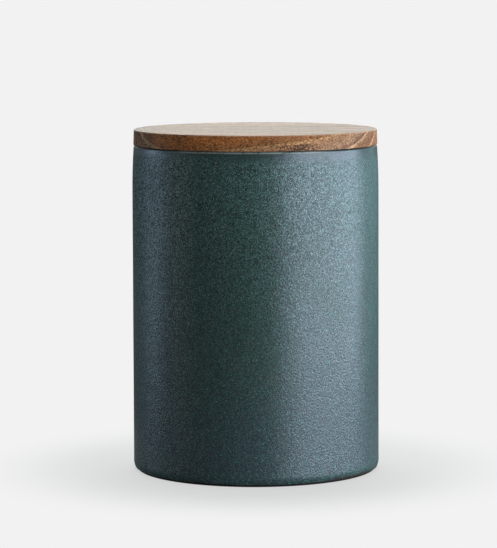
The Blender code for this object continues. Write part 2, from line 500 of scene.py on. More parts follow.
def lid_outline():
    """Top of the lid, brim's edge, underside, plug with its groove, plug's end."""
    top_round = (BRIM_RADIUS - BRIM_TAPER - BRIM_TOP_ROUND, LID_TOP - BRIM_TOP_ROUND)
    lower_round = (BRIM_RADIUS - BRIM_LOWER_ROUND, SEAT_HEIGHT + BRIM_LOWER_ROUND)
    plug_round = (PLUG_RADIUS - PLUG_EDGE_ROUND, PLUG_END + PLUG_EDGE_ROUND)
    return joined([
        [(0, LID_TOP)],
        [(top_round[0] - FLAT_KEEPER, LID_TOP)],
        arc(top_round, BRIM_TOP_ROUND, 90, 0),
        arc(lower_round, BRIM_LOWER_ROUND, 0, -90),
        [(PLUG_RADIUS, SEAT_HEIGHT), (PLUG_RADIUS, GROOVE_TOP)],
        [(GROOVE_RADIUS, GROOVE_TOP), (GROOVE_RADIUS, GROOVE_BOTTOM), (PLUG_RADIUS, GROOVE_BOTTOM)],
        arc(plug_round, PLUG_EDGE_ROUND, 0, -90),
        [(0, PLUG_END)],
    ], WALL_ROW)


def fin_stretches():
    """The seal's outside: each fin is thick at the root and soft at the tip, and leans up."""
    tip_round = FIN_TIP_THICKNESS / 2
    stretches = []
    for fin in range(FIN_COUNT):
        height = SEAL_TOP + (SEAL_BOTTOM - SEAL_TOP) * (fin + 0.5) / FIN_COUNT
        tip = (FIN_TIP_RADIUS - tip_round, height + FIN_RISE)
        stretches.append([(SEAL_OUTER_RADIUS, height + FIN_ROOT_THICKNESS / 2)])
        stretches.append(arc(tip, tip_round, 90, -90, FIN_TIP_ROWS))
        stretches.append([(SEAL_OUTER_RADIUS, height - FIN_ROOT_THICKNESS / 2)])
    return stretches


def seal_outline():
    """A closed outline: down the outside over the fins, and up the inside over the parting ridge."""
    corner = SEAL_EDGE_ROUND
    inner, outer = SEAL_INNER_RADIUS + corner, SEAL_OUTER_RADIUS - corner
    middle = (SEAL_TOP + SEAL_BOTTOM) / 2
    return joined([
        arc((inner, SEAL_TOP - corner), corner, 180, 90, SMALL_EDGE_ROWS),
        arc((outer, SEAL_TOP - corner), corner, 90, 0, SMALL_EDGE_ROWS),
        *fin_stretches(),
        arc((outer, SEAL_BOTTOM + corner), corner, 0, -90, SMALL_EDGE_ROWS),
        arc((inner, SEAL_BOTTOM + corner), corner, -90, -180, SMALL_EDGE_ROWS),
        [(SEAL_INNER_RADIUS, middle - 2 * PARTING_RIDGE), (SEAL_INNER_RADIUS - PARTING_RIDGE, middle)],
        [(SEAL_INNER_RADIUS, middle + 2 * PARTING_RIDGE)],
    ], MM)


def grain_left(tree, x, z, cloud):
    """How much of its grain the glaze keeps: all on the wall, and little under the rim, where the melt
    ran thin and lies smooth down to a ragged line."""
    ragged = add_node(tree, "ShaderNodeMath", [
        ("operation", "MULTIPLY_ADD"), (1, SMOOTH_BAND_RAGGED),
    ], [(0, cloud), (2, z)])
    askew = add_node(tree, "ShaderNodeMath", [
        ("operation", "MULTIPLY_ADD"), (1, SMOOTH_BAND_SLOPE),
    ], [(0, x), (2, ragged)])
    return add_node(tree, "ShaderNodeMapRange", [
        ("interpolation_type", "SMOOTHSTEP"),
        ("From Min", SMOOTH_BAND[0]), ("From Max", SMOOTH_BAND[1]),
        ("To Min", 1), ("To Max", SMOOTH_BAND_GRAIN),
    ], [("Value", askew)])


def crystal_grain(tree, place, x, upper, kept):
    """The crystals, each of one tone, above 0, and the pits between them, below. They are drawn at 0.26
    mm, because most real ones are too fine to show. They are coarsest in the upper half, and coarser still
    on the left side, where the stronger grain is partly painted sparkle for the left light's highlight."""
    sideways = add_node(tree, "ShaderNodeMapRange", [
        ("From Min", COARSE_SIDE[0]), ("From Max", COARSE_SIDE[1]), ("To Min", 2.2), ("To Max", 0.86),
    ], [("Value", x)])
    coarse = add_node(tree, "ShaderNodeMath", [("operation", "MULTIPLY")], [(0, upper), (1, sideways)])
    strength = add_node(tree, "ShaderNodeMath", [("operation", "MULTIPLY")], [(0, coarse), (1, kept)])
    crystals = add_node(tree, "ShaderNodeTexVoronoi", [("Scale", 1 / CRYSTAL_SIZE)], [("Vector", place)])
    pick = add_node(tree, "ShaderNodeSeparateColor", [], [(0, crystals.outputs["Color"])])
    few_bright = add_node(tree, "ShaderNodeMath", [("operation", "POWER"), (1, 2)], [(0, pick)])
    centred = add_node(tree, "ShaderNodeMapRange", [
        ("To Min", -PIT_STRENGTH), ("To Max", CRYSTAL_STRENGTH),
    ], [("Value", few_bright)])
    return add_node(tree, "ShaderNodeMath", [("operation", "MULTIPLY")], [(0, centred), (1, strength)])


def scattered(tree, place, spacing, rim, core, depth, plenty):
    """Round spots, at most one to a cell of that spacing. plenty is the share of cells that have one."""
    cells = add_node(tree, "ShaderNodeTexVoronoi", [("Scale", 1 / spacing)], [("Vector", place)])
    spot = add_node(tree, "ShaderNodeMapRange", [
        ("From Min", rim), ("From Max", core), ("To Max", depth),
    ], [("Value", cells)])
    pick = add_node(tree, "ShaderNodeSeparateColor", [], [(0, cells.outputs["Color"])])
    chosen = add_node(tree, "ShaderNodeMath", [("operation", "LESS_THAN")], [(0, pick), (1, plenty)])
    return add_node(tree, "ShaderNodeMath", [("operation", "MULTIPLY")], [(0, spot), (1, chosen)])


def pinholed(tree, place, z, grain):
    """A few bubbles burst high on the wall, and left dull dark pinholes in the grain."""
    high_up = add_node(tree, "ShaderNodeMapRange", [
        ("From Min", PINHOLES[0]), ("From Max", PINHOLES[1]), ("To Max", 0.45),
    ], [("Value", z)])
    holes = scattered(tree, place, BUBBLE_SPACING, rim=0.22, core=0.12, depth=1, plenty=high_up)
    return add_node(tree, "ShaderNodeMath", [
        ("operation", "MULTIPLY_ADD"), (1, -PINHOLE_STRENGTH),
    ], [(0, holes), (2, grain)])


def turquoise_flecks(tree, place, z, kept):
    """Lone flecks: scattered on the lower wall, and thick over the foot, where the melt gathered."""
    low = add_node(tree, "ShaderNodeMapRange", [
        ("From Min", FLECKS_THIN_OUT[0]), ("From Max", FLECKS_THIN_OUT[1]),
        ("To Min", 0.1), ("To Max", 0.05),
    ], [("Value", z)])
    gathered = add_node(tree, "ShaderNodeMapRange", [
        ("From Min", FLECKS_GATHER[0]), ("From Max", FLECKS_GATHER[1]), ("To Min", 0.9), ("To Max", 0),
    ], [("Value", z)])
    plenty = add_node(tree, "ShaderNodeMath", [("operation", "MAXIMUM")], [(0, low), (1, gathered)])
    flecks = scattered(tree, place, FLECK_SPACING, rim=0.32, core=0.14, depth=0.65, plenty=plenty)
    return add_node(tree, "ShaderNodeMath", [("operation", "MULTIPLY")], [(0, flecks), (1, kept)])


def rim_painted_highlight(tree, place, z):
    """Painted highlight: along part of the rim's edge pale dashes are painted where the rounded edge
    catches the overhead light.
    """
    edge_drop = add_node(tree, "ShaderNodeMath", [
        ("operation", "SUBTRACT"), (1, RIM_HIGHLIGHT_HEIGHT),
    ], [(0, z)])
    edge_off = add_node(tree, "ShaderNodeMath", [("operation", "ABSOLUTE")], [(0, edge_drop)])
    edge = add_node(tree, "ShaderNodeMapRange", [
        ("From Min", RIM_HIGHLIGHT_WIDTH[0]), ("From Max", RIM_HIGHLIGHT_WIDTH[1]), ("To Min", 1), ("To Max", 0),
    ], [("Value", edge_off)])
    dashes = add_node(tree, "ShaderNodeTexNoise", [
        ("Scale", 1 / HIGHLIGHT_DASH_LENGTH), ("Detail", 3), ("Roughness", 0.7),
    ], [("Vector", place)])
    lit_dashes = add_node(tree, "ShaderNodeMapRange", [
        ("From Min", 0.28), ("From Max", 0.5),
    ], [("Value", dashes)])
    from_highlight_middle = add_node(tree, "ShaderNodeVectorMath", [
        ("operation", "DISTANCE"), (1, RIM_HIGHLIGHT_MIDDLE),
    ], [(0, place)])
    near_highlight_middle = add_node(tree, "ShaderNodeMapRange", [
        ("From Min", RIM_HIGHLIGHT_REACH[0]), ("From Max", RIM_HIGHLIGHT_REACH[1]), ("To Min", 1), ("To Max", 0),
    ], [("Value", from_highlight_middle.outputs["Value"])])
    there = add_node(tree, "ShaderNodeMath", [("operation", "MULTIPLY")], [(0, near_highlight_middle), (1, lit_dashes)])
    return add_node(tree, "ShaderNodeMath", [("operation", "MULTIPLY")], [(0, edge), (1, there)])


def scorched_foot(tree, z, cloud):
    """Just over the bare foot the thin coat scorches brown here and there."""
    foot = add_node(tree, "ShaderNodeMapRange", [
        ("From Min", SCORCHED_FOOT[0]), ("From Max", SCORCHED_FOOT[1]), ("To Min", 1), ("To Max", 0),
    ], [("Value", z)])
    scorch = add_node(tree, "ShaderNodeMapRange", [
        ("From Min", 0.44), ("From Max", 0.56),
    ], [("Value", cloud)])
    return add_node(tree, "ShaderNodeMath", [("operation", "MULTIPLY")], [(0, foot), (1, scorch)])


def glaze_ground(tree, z, cloud, patches, greener):
    """Near-black glass between slate and green: greener in the upper wall, bluer toward the foot where
    the melt ran down, with greyish plum patches where it lies thin."""
    drift = add_node(tree, "ShaderNodeMapRange", [
        ("From Min", 0.35), ("From Max", 0.65),
    ], [("Value", cloud)])
    glass = add_node(tree, "ShaderNodeMix", [
        ("data_type", "RGBA"), (MIX_A, linear("#2d433f")), (MIX_B, linear("#2b4538")),
    ], [(0, drift)])
    run_down = add_node(tree, "ShaderNodeMapRange", [
        ("From Min", BLUER[0]), ("From Max", BLUER[1]), ("To Min", 0.8), ("To Max", 0),
    ], [("Value", z)])
    thin = add_node(tree, "ShaderNodeMapRange", [
        ("From Min", 0.52), ("From Max", 0.7), ("To Max", 0.6),
    ], [("Value", patches)])
    return layered(tree, glass.outputs[MIX_RESULT], [
        (greener, "#2f4c47"),
        (run_down, "#34434a"),
        (thin, "#3f3d42"),
    ])


def crystals_and_pits(tree, ground, patches, grain):
    """Crystals over the ground, green where they gather and greyer between, and near-black pits."""
    crystal_tone = add_node(tree, "ShaderNodeMix", [
        ("data_type", "RGBA"), (MIX_A, linear("#4a8874")), (MIX_B, linear("#789196")),
    ], [(0, patches)])
    pale = add_node(tree, "ShaderNodeMapRange", [("From Max", 0.3)], [("Value", grain)])
    dark = add_node(tree, "ShaderNodeMapRange", [("From Max", -0.3)], [("Value", grain)])
    return layered(tree, ground, [(pale, crystal_tone.outputs[MIX_RESULT]), (dark, "#10181a")])


def glaze_gloss(tree, grain, greener, plain):
    """Crystal faces throw back more light than the pits between them, and the smooth band more still."""
    brightest = add_node(tree, "ShaderNodeMapRange", [
        ("To Min", 0.98), ("To Max", 1.2),
    ], [("Value", greener)])
    gloss = add_node(tree, "ShaderNodeMapRange", [
        ("From Min", -0.28), ("From Max", 0.28),
    ], [("Value", grain), ("To Max", brightest)])
    return add_node(tree, "ShaderNodeMath", [
        ("operation", "MULTIPLY_ADD"), (1, SMOOTH_BAND_GLOSS),
    ], [(0, plain), (2, gloss)])


def glaze_roughness(tree, cloud, upper, plain):
    """A satin that drifts with the coat: rougher in the coarse upper half, sleeker in the smooth band."""
    satin = add_node(tree, "ShaderNodeMapRange", [
        ("From Min", 0.3), ("From Max", 0.7), ("To Min", 0.3), ("To Max", 0.35),
    ], [("Value", cloud)])
    broken_up = add_node(tree, "ShaderNodeMath", [
        ("operation", "MULTIPLY_ADD"), (1, COARSE_ROUGHNESS),
    ], [(0, upper), (2, satin)])
    return add_node(tree, "ShaderNodeMath", [
        ("operation", "MULTIPLY_ADD"), (1, -SMOOTH_BAND_POLISH),
    ], [(0, plain), (2, broken_up)])


def eggshell(tree, place, kept):
    """The glaze is pebbled like eggshell, less so where it is smooth."""
    pebbles = add_node(tree, "ShaderNodeTexNoise", [
        ("Scale", 1 / PEBBLE_SIZE), ("Detail", 0),
    ], [("Vector", place)])
    swell = add_node(tree, "ShaderNodeMath", [("operation", "MULTIPLY")], [(0, pebbles), (1, kept)])
    return add_node(tree, "ShaderNodeBump", [("Distance", PEBBLE_RISE)], [("Height", swell)])


def reactive_glaze():
    """Matt reactive glaze over stoneware. Slow cooling grows crystals in it, so a near-black green
    glass is peppered with teal grains and dark pits, and its gloss is broken up into a satin."""
    material, tree, shader = new_material("matt_reactive_teal_glaze", [
        ("IOR", 1.52), ("Specular Tint", linear("#e0efff")),
    ])
    place = add_node(tree, "ShaderNodeTexCoord").outputs["Object"]
    x, _, z = add_node(tree, "ShaderNodeSeparateXYZ", [], [(0, place)]).outputs

    # The coat's thickness drifts slowly over the wall, and its crystals gather in patches
    cloud = add_node(tree, "ShaderNodeTexNoise", [
        ("Scale", 1 / CLOUD_SIZE), ("Detail", 2),
    ], [("Vector", place)])
    patches = add_node(tree, "ShaderNodeTexNoise", [
        ("Scale", 1 / PATCH_SIZE), ("Detail", 1),
    ], [("Vector", place)])
    upper = add_node(tree, "ShaderNodeMapRange", [
        ("From Min", COARSE_TOP[0]), ("From Max", COARSE_TOP[1]), ("To Min", 0.74), ("To Max", 1.4),
    ], [("Value", z)])
    greener = add_node(tree, "ShaderNodeMapRange", [
        ("From Min", GREENER[0]), ("From Max", GREENER[1]),
    ], [("Value", z)])
    kept = grain_left(tree, x, z, cloud)
    plain = add_node(tree, "ShaderNodeMapRange", [
        ("From Min", 0.3), ("From Max", 0.9), ("To Min", 0.6), ("To Max", 0),
    ], [("Value", kept)])
    grain = pinholed(tree, place, z, crystal_grain(tree, place, x, upper, kept))

    # Over the ground and its crystals lie the flecks, the smooth band's grey, the painted highlight along
    # the rim's edge, and the scorched foot
    ground = glaze_ground(tree, z, cloud, patches, greener)
    colour = layered(tree, crystals_and_pits(tree, ground, patches, grain), [
        (turquoise_flecks(tree, place, z, kept), "#4b9c88"),
        (plain, "#2a2f30"),
        (rim_painted_highlight(tree, place, z), "#87938d"),
        (scorched_foot(tree, z, cloud), "#352c26"),
    ])
    link(tree, shader, [
        ("Base Color", colour),
        ("Specular IOR Level", glaze_gloss(tree, grain, greener, plain)),
        ("Roughness", glaze_roughness(tree, cloud, upper, plain)),
        ("Normal", eggshell(tree, place, kept)),
    ])
    return material


def bare_stoneware():
    """Unglazed stoneware, wiped with a wet sponge before firing: dry, gritty with sand and iron,
    near-black at the outer foot and paler brown in the sheltered recess. The near-black is partly painted
    shadow, for the dark line where the foot meets the table."""
    material, tree, shader = new_material("bare_fired_stoneware", [("Roughness", 0.9), ("IOR", 1.5)])
    place = add_node(tree, "ShaderNodeTexCoord").outputs["Object"]
    mottle = add_node(tree, "ShaderNodeTexNoise", [
        ("Scale", 1 / CLAY_MOTTLE), ("Detail", 4), ("Roughness", 0.6),
    ], [("Vector", place)])
    # The clay's own dark brown, made near-black as painted shadow for the dark line along the foot
    body = add_node(tree, "ShaderNodeMix", [
        ("data_type", "RGBA"), (MIX_A, linear("#120e0b")), (MIX_B, linear("#1f1712")),
    ], [(0, mottle)])
    sheltered = add_node(tree, "ShaderNodeMapRange", [
        ("From Min", SHELTERED_FOOT[0]), ("From Max", SHELTERED_FOOT[1]), ("To Max", 0.9),
    ], [("Value", from_axis(tree, place))])
    grit = add_node(tree, "ShaderNodeTexVoronoi", [("Scale", 1 / GRIT_SPACING)], [("Vector", place)])
    iron = add_node(tree, "ShaderNodeMapRange", [("From Min", 0.3), ("From Max", 0.16)], [("Value", grit)])
    colour = layered(tree, body.outputs[MIX_RESULT], [(sheltered, "#8a6f58"), (iron, "#120e0c")])
    relief = add_node(tree, "ShaderNodeBump", [("Distance", GRIT_RISE)], [("Height", grit)])
    link(tree, shader, [("Base Color", colour), ("Normal", relief)])
    return material


def growth_rings(tree, x, z, across, wander):
    """Rings round a pith that ran above the board, each with a pale line where the year began, and how
    far out from the pith a point is."""
    ring_y = add_node(tree, "ShaderNodeMath", [("operation", "ADD"), (1, PITH_OFFSET)], [(0, across)])
    tilted = add_node(tree, "ShaderNodeMath", [
        ("operation", "MULTIPLY_ADD"), (1, -GRAIN_TILT),
    ], [(0, x), (2, z)])
    ring_z = add_node(tree, "ShaderNodeMath", [
        ("operation", "SUBTRACT"), (1, LID_TOP + PITH_ABOVE_TOP),
    ], [(0, tilted)])
    from_pith = add_node(tree, "ShaderNodeCombineXYZ", [], [("Y", ring_y), ("Z", ring_z)])
    reach = add_node(tree, "ShaderNodeVectorMath", [("operation", "LENGTH")], [(0, from_pith)])
    ring_reach = add_node(tree, "ShaderNodeMath", [
        ("operation", "MULTIPLY_ADD"), (1, RING_WANDER),
    ], [(0, wander), (2, reach.outputs["Value"])])
    inner, outer = RING_TONES[0][0], RING_TONES[-1][0]
    ring_share = add_node(tree, "ShaderNodeMapRange", [
        ("From Min", inner + RING_WANDER / 2), ("From Max", outer + RING_WANDER / 2),
    ], [("Value", ring_reach)])
    rings = add_node(tree, "ShaderNodeValToRGB", [], [(0, ring_share)])
    stops = rings.color_ramp.elements
    stops.remove(stops[1])
    stops[0].color = linear(RING_TONES[0][1])
    for radius, tone in RING_TONES[1:]:
        stops.new((radius - inner) / (outer - inner)).color = linear(tone)
    return rings, ring_reach


def near_ring(tree, ring_reach, ring, full, none, share):
    """The share within the first distance of one growth ring, and 0 past the second."""
    off_ring = add_node(tree, "ShaderNodeMath", [
        ("operation", "SUBTRACT"), (1, ring + RING_WANDER / 2),
    ], [(0, ring_reach)])
    how_far = add_node(tree, "ShaderNodeMath", [("operation", "ABSOLUTE")], [(0, off_ring)])
    return add_node(tree, "ShaderNodeMapRange", [
        ("From Min", full), ("From Max", none), ("To Min", share), ("To Max", 0),
    ], [("Value", how_far)])


def shaded(tree, wood, levels):
    """The wood made lighter or darker by each level in turn."""
    for level in levels:
        wood = add_node(tree, "ShaderNodeVectorMath", [("operation", "SCALE")], [
            (0, wood), ("Scale", level),
        ])
    return wood


def pale_end(tree, x, rings, ring_reach):
    """At the left end the wood is darker, and the sapwood's line stands out pale there."""
    on_line = near_ring(tree, ring_reach, PALE_RING, full=0.5 * MM, none=1.0 * MM, share=1)
    darker_left = add_node(tree, "ShaderNodeMapRange", [
        ("From Min", DARKER_LEFT_END[0]), ("From Max", DARKER_LEFT_END[1]), ("To Min", 0.72), ("To Max", 1),
    ], [("Value", x)])
    at_end = add_node(tree, "ShaderNodeMapRange", [
        ("From Min", PALE_LINE_END[0]), ("From Max", PALE_LINE_END[1]), ("To Min", 0.7), ("To Max", 0),
    ], [("Value", x)])
    line_share = add_node(tree, "ShaderNodeMath", [("operation", "MULTIPLY")], [(0, on_line), (1, at_end)])
    return layered(tree, shaded(tree, rings, [darker_left]), [(line_share, "#c6a07c")])


def flatness(tree):
    """How flat a face lies: 1 on the lid's top and underside, 0 on its turned edge."""
    facing = add_node(tree, "ShaderNodeNewGeometry")
    _, _, upward = add_node(tree, "ShaderNodeSeparateXYZ", [], [(0, facing.outputs["Normal"])]).outputs
    return add_node(tree, "ShaderNodeMath", [("operation", "ABSOLUTE")], [(0, upward)])


def cut_across(tree, in_board, lengthwise):
    """Where fibres and vessels are drawn: long on the flats, and cut to dots on the turned edge."""
    stretch = add_node(tree, "ShaderNodeMix", [
        ("data_type", "VECTOR"), (MIX_A_VECTOR, END_GRAIN), (MIX_B_VECTOR, (1, 1, 1)),
    ], [(0, lengthwise)])
    return add_node(tree, "ShaderNodeVectorMath", [("operation", "MULTIPLY")], [
        (0, in_board), (1, stretch.outputs[MIX_RESULT_VECTOR]),
    ])


def fibre_levels(tree, x, in_board, fibre, pick):
    """The broad figure, the fibres and their cut ends, as levels of light and dark. The fibres are too
    fine to show, and are drawn at 0.6 mm along the grain and 0.36 mm at the cut ends."""
    figure = add_node(tree, "ShaderNodeTexNoise", [
        ("Scale", 1 / FIGURE_SIZE), ("Detail", 3), ("Roughness", 0.55),
    ], [("Vector", in_board)])
    figure_level = add_node(tree, "ShaderNodeMapRange", [
        ("From Min", 0.3), ("From Max", 0.7), ("To Min", 0.8), ("To Max", 1.2),
    ], [("Value", figure)])
    fibre_level = add_node(tree, "ShaderNodeMapRange", [
        ("From Min", 0.3), ("From Max", 0.7), ("To Min", 0.65), ("To Max", 1.35),
    ], [("Value", fibre)])
    centred = add_node(tree, "ShaderNodeMath", [("operation", "SUBTRACT"), (1, 0.5)], [(0, pick)])
    contrast = add_node(tree, "ShaderNodeMapRange", [
        ("From Min", LID_ENDS[0]), ("From Max", LID_ENDS[1]), ("To Min", 1.35), ("To Max", 0.6),
    ], [("Value", x)])
    end_level = add_node(tree, "ShaderNodeMath", [
        ("operation", "MULTIPLY_ADD"), (2, 1),
    ], [(0, centred), (1, contrast)])
    return figure_level, fibre_level, end_level


def open_pores(tree, cut_place, wander, ring_reach):
    """Open pores: short dark dashes along the grain, dots where it ends, in drifts and on one ring."""
    vessels = add_node(tree, "ShaderNodeTexVoronoi", [
        ("Scale", 1 / VESSEL_SPACING),
    ], [("Vector", cut_place)])
    pore = add_node(tree, "ShaderNodeMapRange", [
        ("interpolation_type", "SMOOTHSTEP"), ("From Min", 0.34), ("From Max", 0.16),
    ], [("Value", vessels)])
    drifts = add_node(tree, "ShaderNodeMapRange", [
        ("From Min", 0.45), ("From Max", 0.62),
    ], [("Value", wander)])
    on_ring = near_ring(tree, ring_reach, PORE_RING, full=0.6 * MM, none=1.6 * MM, share=0.45)
    porous = add_node(tree, "ShaderNodeMath", [("operation", "MAXIMUM")], [(0, drifts), (1, on_ring)])
    return add_node(tree, "ShaderNodeMath", [("operation", "MULTIPLY")], [(0, pore), (1, porous)])


def pore_knot(tree, place, pick):
    """A low knot of fine dark pores on the edge, at the front right."""
    drawn_out = add_node(tree, "ShaderNodeVectorMath", [
        ("operation", "MULTIPLY"), (1, (1, 1, KNOT_FLATTENING)),
    ], [(0, place)])
    from_knot = add_node(tree, "ShaderNodeVectorMath", [
        ("operation", "DISTANCE"), (1, (KNOT_X, KNOT_Y, KNOT_FLATTENING * KNOT_HEIGHT)),
    ], [(0, drawn_out)])
    knotty = add_node(tree, "ShaderNodeMapRange", [
        ("From Min", KNOT_REACH[0]), ("From Max", KNOT_REACH[1]), ("To Min", KNOT_CROWDING), ("To Max", 0),
    ], [("Value", from_knot.outputs["Value"])])
    riddled = add_node(tree, "ShaderNodeMath", [("operation", "LESS_THAN")], [(0, pick), (1, knotty)])
    return add_node(tree, "ShaderNodeMath", [
        ("operation", "MULTIPLY"), (1, KNOT_DARKNESS),
    ], [(0, riddled)])


def painted_edge_highlight(tree, place, z):
    """A thin pale line is painted along the top's edge: a painted highlight where its rounded edge catches
    the light.
    """
    height_and_radius = add_node(tree, "ShaderNodeMath", [
        ("operation", "ADD"),
    ], [(0, from_axis(tree, place)), (1, z)])
    return add_node(tree, "ShaderNodeMapRange", [
        ("From Min", EDGE_HIGHLIGHT_BAND[0]), ("From Max", EDGE_HIGHLIGHT_BAND[1]), ("To Max", 0.5),
    ], [("Value", height_and_radius)])


def oiled_acacia():
    """Acacia turned from one flat-sawn board, sanded and oiled. The pattern fills the solid wood, so the
    rings on the top, the edge and the plug meet. The grain runs along X, a little askew."""
    material, tree, shader = new_material("oiled_acacia", [("IOR", 1.47), ("Specular IOR Level", 0.3)])
    place = add_node(tree, "ShaderNodeTexCoord").outputs["Object"]
    x, y, z = add_node(tree, "ShaderNodeSeparateXYZ", [], [(0, place)]).outputs
    across = add_node(tree, "ShaderNodeMath", [
        ("operation", "MULTIPLY_ADD"), (1, GRAIN_SKEW),
    ], [(0, x), (2, y)])
    along = add_node(tree, "ShaderNodeMath", [("operation", "MULTIPLY"), (1, ALONG_THE_GRAIN)], [(0, x)])
    in_board = add_node(tree, "ShaderNodeCombineXYZ", [], [("X", along), ("Y", across), ("Z", z)])
    wander = add_node(tree, "ShaderNodeTexNoise", [
        ("Scale", 1 / RING_WANDER_LENGTH), ("Detail", 3),
    ], [("Vector", in_board)])
    rings, ring_reach = growth_rings(tree, x, z, across, wander)

    flat = flatness(tree)
    lengthwise = add_node(tree, "ShaderNodeMapRange", [
        ("From Min", FLAT_FACE[0]), ("From Max", FLAT_FACE[1]),
    ], [("Value", flat)])
    cut_place = cut_across(tree, in_board, lengthwise)
    fibre = add_node(tree, "ShaderNodeTexNoise", [
        ("Scale", 1 / FIBRE_SIZE), ("Detail", 1), ("Roughness", 0.6),
    ], [("Vector", cut_place)])
    ends = add_node(tree, "ShaderNodeTexVoronoi", [("Scale", 1 / FIBRE_END_SIZE)], [("Vector", cut_place)])
    end_pick = add_node(tree, "ShaderNodeSeparateColor", [], [(0, ends.outputs["Color"])])
    pick, other_pick, _ = end_pick.outputs
    levels = fibre_levels(tree, x, in_board, fibre, pick)
    fibred = shaded(tree, pale_end(tree, x, rings, ring_reach), levels)

    # The oil evens out the hue of the sanded flats
    oiled_even = add_node(tree, "ShaderNodeMath", [
        ("operation", "MULTIPLY"), (1, OIL_EVENING),
    ], [(0, lengthwise)])
    evened = add_node(tree, "ShaderNodeMix", [
        ("data_type", "RGBA"), ("blend_type", "COLOR"), (MIX_B, linear("#96704f")),
    ], [(0, oiled_even), (MIX_A, fibred)])
    pores = add_node(tree, "ShaderNodeMath", [("operation", "MAXIMUM")], [
        (0, open_pores(tree, cut_place, wander, ring_reach)), (1, pore_knot(tree, place, other_pick)),
    ])
    # Pores darken the wood, and a painted highlight runs along the top's edge
    colour = layered(tree, evened.outputs[MIX_RESULT], [
        (pores, "#33180f"),
        (painted_edge_highlight(tree, place, z), "#c8b29c"),
    ])

    # The cut fibres of the edge drink the oil and stay dull, and the sanded flats keep a low sheen
    sheen = add_node(tree, "ShaderNodeMapRange", [
        ("From Min", FLAT_FACE[0]), ("From Max", FLAT_FACE[1]), ("To Min", 0.12), ("To Max", 0.5),
    ], [("Value", flat)])
    oil = add_node(tree, "ShaderNodeMapRange", [
        ("From Min", 0.3), ("From Max", 0.7), ("To Min", 0.5), ("To Max", 0.6),
    ], [("Value", fibre)])
    sunk = add_node(tree, "ShaderNodeMath", [("operation", "SUBTRACT")], [(0, fibre), (1, pores)])
    relief = add_node(tree, "ShaderNodeBump", [("Distance", FIBRE_RISE)], [("Height", sunk)])
    link(tree, shader, [
        ("Base Color", colour), ("Specular IOR Level", sheen), ("Roughness", oil), ("Normal", relief),
    ])
    return material


def milky_silicone():
    """Moulded food-grade silicone: milky, lets light in a little way, and has a satin off the mould."""
    material, tree, shader = new_material("milky_moulded_silicone", [
        ("IOR", 1.41),
        ("Subsurface Weight", 0.5),
        ("Subsurface Radius", (1, 0.95, 0.9)),
        ("Subsurface Scale", 2 * MM),
    ])
    place = add_node(tree, "ShaderNodeTexCoord").outputs["Object"]
    haze = add_node(tree, "ShaderNodeTexNoise", [
        ("Scale", 1 / HAZE_SIZE), ("Detail", 3),
    ], [("Vector", place)])
    body = add_node(tree, "ShaderNodeMix", [
        ("data_type", "RGBA"), (MIX_A, linear("#d3d2cb")), (MIX_B, linear("#e4e3dd")),
    ], [(0, haze)])
    satin = add_node(tree, "ShaderNodeMapRange", [("To Min", 0.28), ("To Max", 0.46)], [("Value", haze)])
    mould = add_node(tree, "ShaderNodeTexNoise", [
        ("Scale", 1 / MOULD_GRAIN), ("Detail", 1),
    ], [("Vector", place)])
    relief = add_node(tree, "ShaderNodeBump", [("Distance", MOULD_RISE)], [("Height", mould)])
    link(tree, shader, [
        ("Base Color", body.outputs[MIX_RESULT]), ("Roughness", satin), ("Normal", relief),
    ])
    return material


def stoneware_jar():
    """The jar with its glaze coat, and its bare clay foot."""
    glaze_rows = glaze_outline()
    jar = turned_mesh("stoneware_jar_glazed", glaze_rows + clay_outline(), glazed)
    jar.data.materials.append(reactive_glaze())
    jar.data.materials.append(bare_stoneware())
    clay_start = (len(glaze_rows) - 1) * COLUMNS
    for face in jar.data.polygons:
        face.material_index = int(face.index >= clay_start)
    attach(jar, "jar")
    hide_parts("stoneware_jar")


def wooden_lid():
    """Brim and plug, turned from one board."""
    lid = turned_mesh("acacia_lid_turned", lid_outline(), still)
    lid.data.materials.append(oiled_acacia())
    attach(lid, "lid")
    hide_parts("wooden_lid")


def silicone_seal():
    """The seal in the plug's groove, with its two fins."""
    seal = turned_mesh("silicone_seal_moulded", seal_outline(), still, closed=True)
    seal.data.materials.append(milky_silicone())
    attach(seal, "lid")
    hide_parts("silicone_seal")


